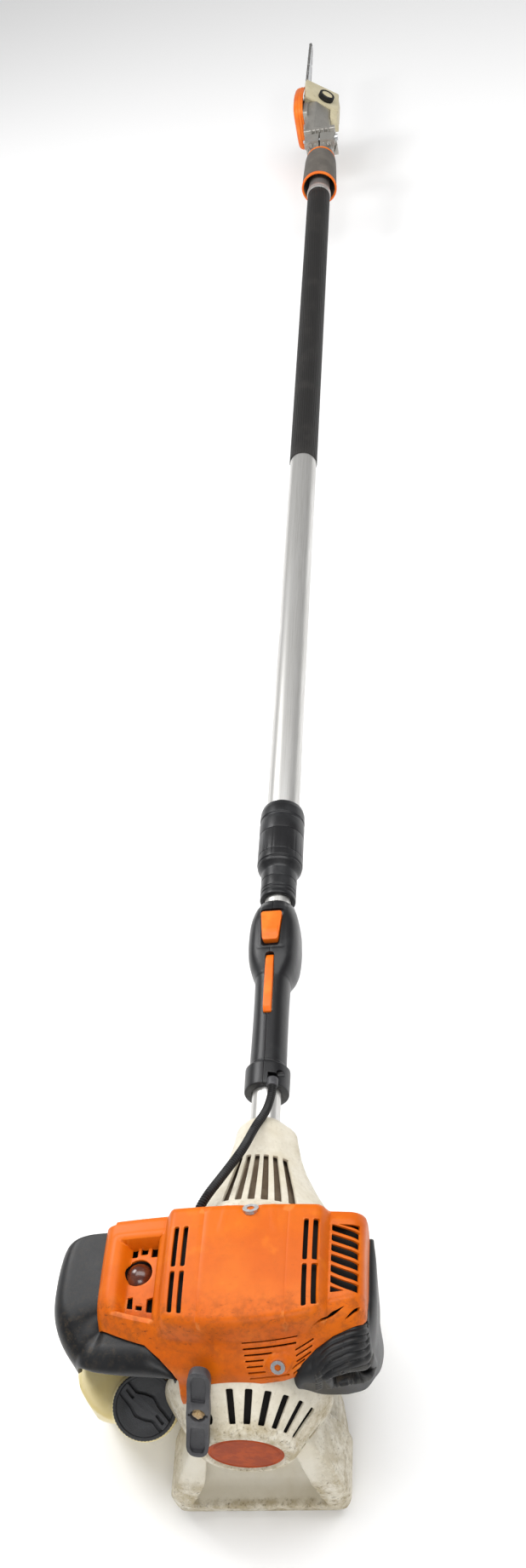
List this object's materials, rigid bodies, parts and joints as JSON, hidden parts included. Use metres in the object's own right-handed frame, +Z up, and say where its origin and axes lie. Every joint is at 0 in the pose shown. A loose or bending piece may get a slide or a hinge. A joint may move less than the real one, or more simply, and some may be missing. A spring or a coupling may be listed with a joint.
{
  "type": "telescopic pole pruner",
  "caption": "Petrol pole pruner: engine with pull starter and stand, control handle, telescoping pole, and a cutting head with a guide bar, chain, sprocket cover and oil tank.",
  "frame": {"origin": "middle of the flat foot under the engine, directly below the pole axis", "axes": "+Y along the pole from the engine to the cutting head, +Z up, +X to the muffler side"},
  "size_m": [0.278, 2.7588, 0.2312],
  "materials": {
    "orange_plastic": "moulded, slightly glossy, dirty along the rear edges",
    "cream_plastic": "moulded, satin, dirty",
    "tank_plastic": "translucent moulded tank",
    "black_plastic": "moulded, satin",
    "grey_plastic": "moulded, satin",
    "cup_plastic": "matt grey",
    "hose_rubber": "fine lengthwise ribs",
    "rubber": "matt",
    "steel": "bright",
    "dark_steel": "oiled",
    "tube_aluminium": "drawn tube, satin",
    "cast_metal": "die cast, matt",
    "rope": "braided cord",
    "felt": "filter felt"
  },
  "bodies": {
    "powerhead": {"crankcase": "cast_metal", "cylinder": "cast_metal", "piston": "tube_aluminium", "spark_plug": "steel", "spark_plug_boot": "rubber", "clutch_housing": "cream_plastic", "neck_screw": "steel", "muffler": "dark_steel", "muffler_guard": "black_plastic", "engine_shroud": "orange_plastic", "shroud_screw_front": "steel", "shroud_screw_rear": "steel", "air_filter_cover": "black_plastic", "air_filter_element": "felt", "carburetor": "cast_metal", "starter_housing": "cream_plastic", "starter_badge": "orange_plastic", "rewind_spring": "steel", "engine_stand": "cream_plastic", "fuel_tank": "tank_plastic", "inner_tube": "tube_aluminium", "handle_shell_left": "black_plastic", "handle_shell_right": "black_plastic", "handle_screw": "steel", "throttle_conduit": "rubber"},
    "crank_assembly": {"crankshaft": "steel", "flywheel": "cast_metal", "clutch_shoes": "dark_steel"},
    "rear_drive": {"clutch_drum": "dark_steel", "drive_shaft_rear": "steel"},
    "pull_grip": {"starter_grip": "grey_plastic", "starter_rope": "rope"},
    "rope_pulley": {"starter_pulley": "black_plastic"},
    "primer": {"primer_bulb": "rubber"},
    "choke": {"choke_lever": "black_plastic"},
    "trigger": {"throttle_trigger": "black_plastic"},
    "lockout": {"trigger_lockout": "orange_plastic"},
    "stop_button": {"stop_slide": "orange_plastic"},
    "fuel_filler_cap": {"fuel_cap": "black_plastic"},
    "outer_pole": {"outer_tube": "tube_aluminium", "clamp_body": "black_plastic", "grip_hose": "hose_rubber", "hose_ring": "tube_aluminium", "protective_cup": "cup_plastic", "cup_rim": "orange_plastic", "cup_washer": "orange_plastic", "gear_housing": "cast_metal", "housing_screw": "steel", "guide_bar": "tube_aluminium", "saw_chain": "dark_steel", "sprocket_cover": "orange_plastic", "bar_stud": "steel", "cover_nut": "steel", "oil_tank": "tank_plastic"},
    "pole_clamp": {"clamp_nut": "black_plastic"},
    "front_drive": {"drive_shaft_front": "steel", "bevel_pinion": "steel"},
    "output": {"sprocket_shaft": "steel", "chain_sprocket": "dark_steel"},
    "oil_filler_cap": {"oil_cap": "black_plastic"}
  },
  "joints": [
    {"name": "telescope", "type": "slide", "parent": "powerhead", "child": "outer_pole", "axis": [0, 1, 0], "range_m": [0, 1.2]},
    {"name": "pole_clamp_turn", "type": "hinge", "parent": "outer_pole", "child": "pole_clamp", "pos_m": [0, 0.598, 0.118], "axis": [0, 1, 0], "range_deg": [0, 90]},
    {"name": "throttle_trigger_pull", "type": "hinge", "parent": "powerhead", "child": "trigger", "pos_m": [0, 0.456, 0.093], "axis": [-1, 0, 0], "range_deg": [0, 12], "stiffness_Nm_per_rad": 0.8, "springref_deg": -11.46},
    {"name": "trigger_lockout_press", "type": "hinge", "parent": "powerhead", "child": "lockout", "pos_m": [0, 0.468, 0.138], "axis": [1, 0, 0], "range_deg": [0, 3], "stiffness_Nm_per_rad": 0.8, "springref_deg": -11.46},
    {"name": "stop_button_slide", "type": "slide", "parent": "powerhead", "child": "stop_button", "axis": [0, 1, 0], "range_m": [-0.005, 0.005]},
    {"name": "choke_turn", "type": "hinge", "parent": "powerhead", "child": "choke", "pos_m": [-0.138, 0.142, 0.162], "axis": [0, 1, 0], "range_deg": [0, 60]},
    {"name": "primer_press", "type": "slide", "parent": "powerhead", "child": "primer", "axis": [0, 0, -1], "range_m": [0, 0.005], "stiffness_N_per_m": 400, "springref_m": -0.003},
    {"name": "starter_pull", "type": "slide", "parent": "powerhead", "child": "pull_grip", "axis": [0, -0.9131, 0.4078], "range_m": [0, 0.75], "stiffness_N_per_m": 15, "springref_m": -0.7},
    {"name": "pulley_spin", "type": "hinge", "parent": "powerhead", "child": "rope_pulley", "pos_m": [0, 0.009, 0.118], "axis": [0, 1, 0], "range_deg": [0, 1920]},
    {"name": "crank_spin", "type": "hinge", "parent": "powerhead", "child": "crank_assembly", "pos_m": [0, 0.08, 0.118], "axis": [0, 1, 0], "continuous": true},
    {"name": "rear_drive_spin", "type": "hinge", "parent": "powerhead", "child": "rear_drive", "pos_m": [0, 0.16, 0.118], "axis": [0, 1, 0], "continuous": true},
    {"name": "front_drive_spin", "type": "hinge", "parent": "outer_pole", "child": "front_drive", "pos_m": [0, 2.352, 0.118], "axis": [0, 1, 0], "continuous": true},
    {"name": "sprocket_spin", "type": "hinge", "parent": "outer_pole", "child": "output", "pos_m": [-0.02, 2.376, 0.118], "axis": [1, 0, 0], "continuous": true},
    {"name": "fuel_cap_turn", "type": "hinge", "parent": "powerhead", "child": "fuel_filler_cap", "pos_m": [-0.092, 0.026, 0.106], "axis": [0.1987, -0.3996, 0.8949], "range_deg": [0, 120]},
    {"name": "oil_cap_turn", "type": "hinge", "parent": "outer_pole", "child": "oil_filler_cap", "pos_m": [-0.0018, 2.422, 0.1242], "axis": [0.5638, 0, 0.8259], "range_deg": [0, 120]}
  ],
  "couplings": [
    {"joint": "pulley_spin", "follows": "starter_pull", "rad_per_m": 44.444},
    {"joint": "front_drive_spin", "follows": "rear_drive_spin", "ratio": 1},
    {"joint": "sprocket_spin", "follows": "rear_drive_spin", "ratio": -0.57143}
  ]
}
